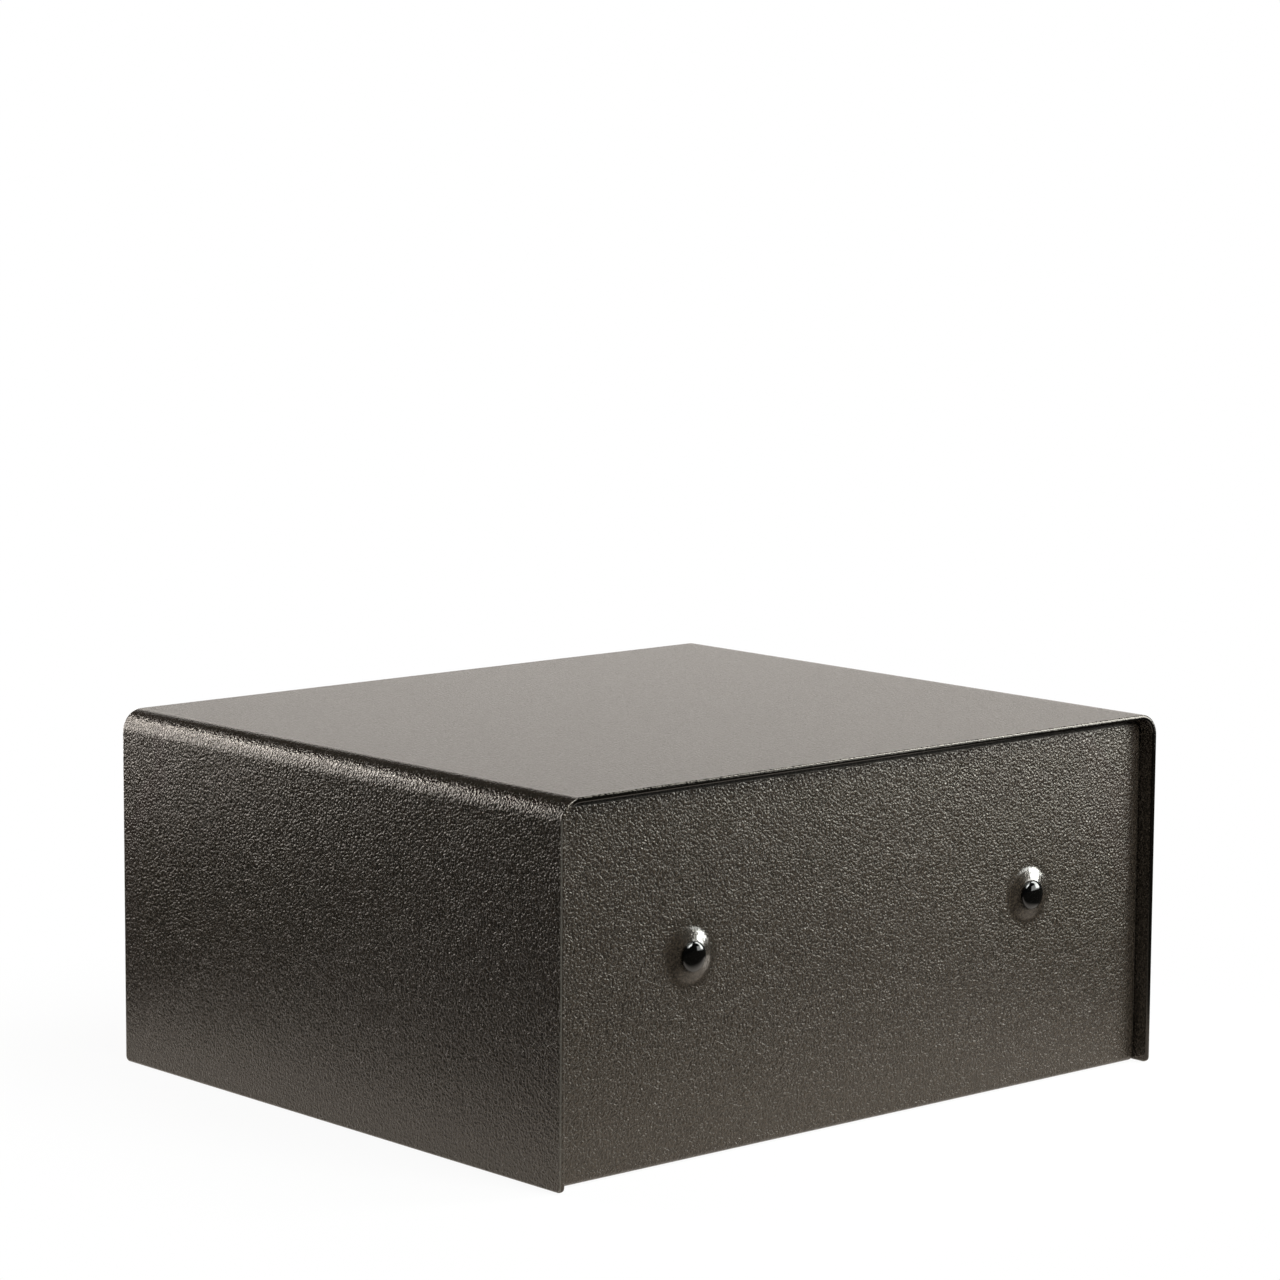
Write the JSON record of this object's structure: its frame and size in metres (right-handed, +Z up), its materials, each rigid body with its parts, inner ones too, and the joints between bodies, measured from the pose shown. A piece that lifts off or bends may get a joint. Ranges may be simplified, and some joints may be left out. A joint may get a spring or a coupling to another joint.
{
  "type": "parcel drop box",
  "caption": "Low, wide folded-steel parcel drop box with an inset back panel, plugged wall fixing holes, and a locking side-hung front door with a top-hung deposit flap.",
  "frame": {"origin": "middle of the case's footprint, on the surface that it stands on", "axes": "+Z up, the front with the door faces -Y, the back with the plugged fixing holes faces +Y"},
  "size_m": [0.44, 0.376, 0.2],
  "materials": {
    "bronze_coat": "dark bronze wrinkle-textured powder coat, satin",
    "rubber": "matt",
    "gloss_plug": "polished",
    "zinc": "zinc plated",
    "nickel": "satin nickel plate",
    "nylon": "moulded"
  },
  "bodies": {
    "case": {"body_wrap": "bronze_coat", "rear_panel": "bronze_coat", "wall_plug_left": "gloss_plug", "wall_plug_right": "gloss_plug", "floor_pan": "bronze_coat", "front_frame": "bronze_coat", "door_jamb": "bronze_coat", "door_bumper_1": "rubber", "door_bumper_2": "rubber", "door_bumper_3": "rubber", "door_bumper_4": "rubber", "hinge_pin_upper": "zinc", "hinge_pin_lower": "zinc", "hinge_washer_upper": "nylon", "hinge_washer_lower": "nylon"},
    "door": {"door_panel": "bronze_coat", "lock_barrel": "nickel", "lock_nut": "zinc", "flap_hinge_leaf": "bronze_coat", "flap_hinge_pin": "zinc", "flap_bumper_left": "rubber", "flap_bumper_right": "rubber", "anti_fishing_baffle": "bronze_coat"},
    "flap": {"deposit_flap": "bronze_coat"},
    "lock_core": {"lock_plug": "nickel", "lock_cam": "zinc", "cam_screw": "zinc"}
  },
  "joints": [
    {"name": "door_hinge", "type": "hinge", "parent": "case", "child": "door", "pos_m": [-0.18, -0.166, 0.1], "axis": [0, 0, -1], "range_deg": [0, 110]},
    {"name": "flap_hinge", "type": "hinge", "parent": "door", "child": "flap", "pos_m": [-0.009, -0.1761, 0.15], "axis": [-1, 0, 0], "range_deg": [0, 110]},
    {"name": "lock_turn", "type": "hinge", "parent": "door", "child": "lock_core", "pos_m": [0.155, -0.172, 0.1], "axis": [0, -1, 0], "range_deg": [0, 90]}
  ]
}
